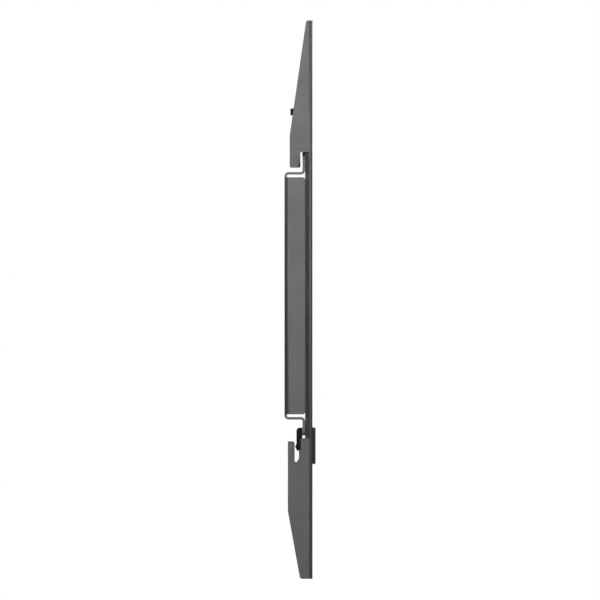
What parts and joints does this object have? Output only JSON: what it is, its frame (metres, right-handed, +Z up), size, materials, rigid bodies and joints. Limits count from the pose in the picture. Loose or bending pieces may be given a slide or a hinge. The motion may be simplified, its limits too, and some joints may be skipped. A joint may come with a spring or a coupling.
{
  "type": "slim fixed television wall mount",
  "caption": "Low-profile television wall mount: a folded steel wall plate with rail flanges, and upright hook-on brackets with sprung latches that slide along the rails.",
  "frame": {"origin": "centre of the wall plate's back face, on the wall", "axes": "+Y into the wall, so the television is towards -Y; +X to the right along the rails, seen from the front; +Z up along the brackets"},
  "size_m": [0.46, 0.0245, 0.44],
  "materials": {
    "powder_coat": "fine-textured dark grey powder coat on folded steel",
    "nylon": "moulded black nylon",
    "black_plastic": "moulded black plastic, fine grain",
    "rubber": "matt black rubber",
    "screw_steel": "black-coated steel",
    "spring_steel": "bright spring wire",
    "clear_plastic": "clear acrylic",
    "level_liquid": "yellow-green spirit"
  },
  "bodies": {
    "wall_plate": {"wall_plate": "powder_coat", "level_holder": "black_plastic", "level_vial": "clear_plastic", "level_liquid": "level_liquid"},
    "left_arm": {"left_arm": "powder_coat", "left_hook_liner": "nylon", "left_wall_bumper": "rubber", "left_latch_base": "black_plastic", "left_latch_cover": "black_plastic", "left_latch_screws": "screw_steel"},
    "left_latch": {"left_latch_slider": "nylon", "left_latch_spring": "spring_steel", "left_latch_pull": "black_plastic"},
    "right_arm": {"right_arm": "powder_coat", "right_hook_liner": "nylon", "right_wall_bumper": "rubber", "right_latch_base": "black_plastic", "right_latch_cover": "black_plastic", "right_latch_screws": "screw_steel"},
    "right_latch": {"right_latch_slider": "nylon", "right_latch_spring": "spring_steel", "right_latch_pull": "black_plastic"}
  },
  "joints": [
    {"name": "left_arm_slide", "type": "slide", "parent": "wall_plate", "child": "left_arm", "axis": [1, 0, 0], "range_m": [-0.01, 0.15]},
    {"name": "right_arm_slide", "type": "slide", "parent": "wall_plate", "child": "right_arm", "axis": [1, 0, 0], "range_m": [-0.15, 0.01]},
    {"name": "left_latch_pull_down", "type": "slide", "parent": "left_arm", "child": "left_latch", "axis": [0, 0, -1], "range_m": [0, 0.0085], "stiffness_N_per_m": 400, "springref_m": -0.006, "deforming": ["left_latch_spring"]},
    {"name": "right_latch_pull_down", "type": "slide", "parent": "right_arm", "child": "right_latch", "axis": [0, 0, -1], "range_m": [0, 0.0085], "stiffness_N_per_m": 400, "springref_m": -0.006, "deforming": ["right_latch_spring"]}
  ]
}
